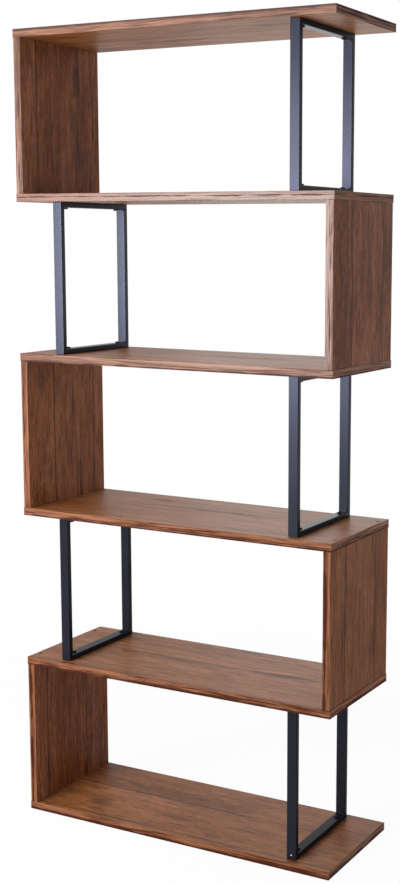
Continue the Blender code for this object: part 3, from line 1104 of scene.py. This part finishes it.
for number in range(1, BAY_COUNT + 1):
    node = f"support_frame_{number}"
    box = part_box(node)
    seed = number * SEED_STEP
    # Only the first frame carries the painted highlight.
    face_coat = powder_coat(f"powder coat {node}", seed, box, FACE_GLOSS[number], PAINTED_GLINT_PLACE if number == 1 else None)
    side_coat = powder_coat(f"powder coat {node} sides", seed, box, SIDE_GLOSS[number])
    tube = add_piece(f"{node}_tube", frame_mesh(f"{node}_tube", *box), node, face_coat)
    tube.data.materials.append(side_coat)
    for polygon in tube.data.polygons:
        polygon.material_index = 0 if abs(polygon.normal.y) > WIDE_FACE else 1
print("frames:", BAY_COUNT)

# %% [markdown]
# ## The floor and the room
#
# The bookcase stands on a white floor in a white room. Strong lamps could wash the floor out to white, but they
# would bleach the wood as well. So the floor and the world look pure white only to the camera and in
# reflections, which Blender knows by the kind of ray that asks.
#
# The floor also takes the lamps' light, and near the bookcase a small share of that lit white shows, so the
# bookcase keeps a faint shadow under it.

# %% Floor
FLOOR_RADIUS = 14.0
FLOOR_SIDES = 96
FLOOR_DROP = 0.0005
FLOOR_TONE = (0.86, 0.86, 0.86)
SHADOWED_GLOW = 0.95
SHADOW_FADES = (0.8, 2.4)
WHITE = (1.0, 1.0, 1.0)
WHITE_TO = ("Is Camera Ray", "Is Glossy Ray", "Is Transmission Ray")


def looked_at(tree):
    """1 for a ray that comes from the camera or off a shiny or clear surface, and 0 for plain light."""
    camera_ray, glossy_ray, clear_ray = (tree.node("ShaderNodeLightPath", output=name) for name in WHITE_TO)
    return camera_ray.larger(glossy_ray).larger(clear_ray)


def floor_finish():
    """White for the camera and in reflections. Near the bookcase a share of true lit white keeps its shadow."""
    made = Finish("white floor")
    from_middle = made.node("ShaderNodeVectorMath", {"operation": "LENGTH"}, {0: made.spot}, "Value")
    glow_share = made.step(from_middle, *SHADOW_FADES, SHADOWED_GLOW, 1.0)
    made.finish(Base_Color=FLOOR_TONE, Roughness=0.9, Specular_IOR_Level=0.0)
    glow = made.node("ShaderNodeEmission", {}, {"Color": WHITE, "Strength": 1.0}, "Emission")
    lit = Wire(made, made.shader.outputs["BSDF"])
    share = looked_at(made) * glow_share
    mixed = made.node("ShaderNodeMixShader", {}, {0: share, 1: lit, 2: glow}, "Shader")
    made.feed(made.nodes["Material Output"].inputs["Surface"], mixed)
    return made.owner


disc = bmesh.new()
bmesh.ops.create_circle(disc, cap_ends=True, segments=FLOOR_SIDES, radius=FLOOR_RADIUS)
bmesh.ops.translate(disc, verts=disc.verts, vec=Vector((0.0, 0.0, -FLOOR_DROP)))
floor_mesh = shape_mesh("studio floor", disc)
floor_mesh.materials.append(floor_finish())
floor = bpy.data.objects.new("studio_floor", floor_mesh)
scene.collection.objects.link(floor)
print("floor:", FLOOR_RADIUS * 2, "m across")

# %% World
AMBIENT = 0.13

scene.world = bpy.data.worlds.new("white room")
room = Tree(scene.world, "Background")
room.finish(Color=WHITE, Strength=looked_at(room) * (1 - AMBIENT) + AMBIENT)
print("light from all round:", AMBIENT, "of white")

# %% [markdown]
# ## The lamps
#
# One lamp would do for the shapes, but a satin finish shows what it mirrors, so each sheen in the photograph
# needs a pale sheet in the right place. A wide, low softbox stands to the left of the camera at the height of
# the lens. It gives the pale sheen on the upper front edges and posts, which fades towards the floor.
#
# A high softbox lights the tops from the front. A very wide sheet behind the bookcase is what the tops mirror,
# more so the flatter they are seen. Two weak sheets light the ends, and a low filler lifts the lowest bays. The
# camera sees none of them.

# %% Lamps
Lamp = namedtuple("Lamp", "place aim width height watts")

LAMPS = {
    "low softbox": Lamp((-1.36, -2.75, 1.36), (-1.36, 0.0, 1.36), 1.8, 1.10, 152.0),
    "high softbox": Lamp((-0.6, -2.2, 3.3), (0.0, 0.0, 0.9), 2.4, 1.6, 38.0),
    "rear sheet": Lamp((0.6, 2.4, 1.3), (0.2, 0.0, 0.9), 4.8, 2.4, 36.0),
    "left sheet": Lamp((-3.0, -0.3, 1.3), (0.0, 0.0, 0.9), 2.4, 2.4, 16.0),
    "right sheet": Lamp((3.2, -0.8, 1.3), (0.0, 0.0, 0.9), 2.0, 2.4, 16.0),
    "low filler": Lamp((0.3, -3.0, 0.5), (0.0, 0.0, 0.7), 3.0, 0.9, 5.0),
}

for name, lamp in LAMPS.items():
    light = bpy.data.lights.new(name, "AREA")
    light.shape = "RECTANGLE"
    light.size = lamp.width
    light.size_y = lamp.height
    light.energy = lamp.watts
    sheet = bpy.data.objects.new(name, light)
    scene.collection.objects.link(sheet)
    sheet.location = lamp.place
    sheet.rotation_euler = (Vector(lamp.aim) - Vector(lamp.place)).to_track_quat("-Z", "Y").to_euler()
    sheet.visible_camera = False
print("lamps:", len(LAMPS))

# %% [markdown]
# ## The view transform
#
# The dressed bookcase has to stay the size of its solids. The last cell sets the Standard view transform.

# %% View transform
scene.view_settings.view_transform = "Standard"
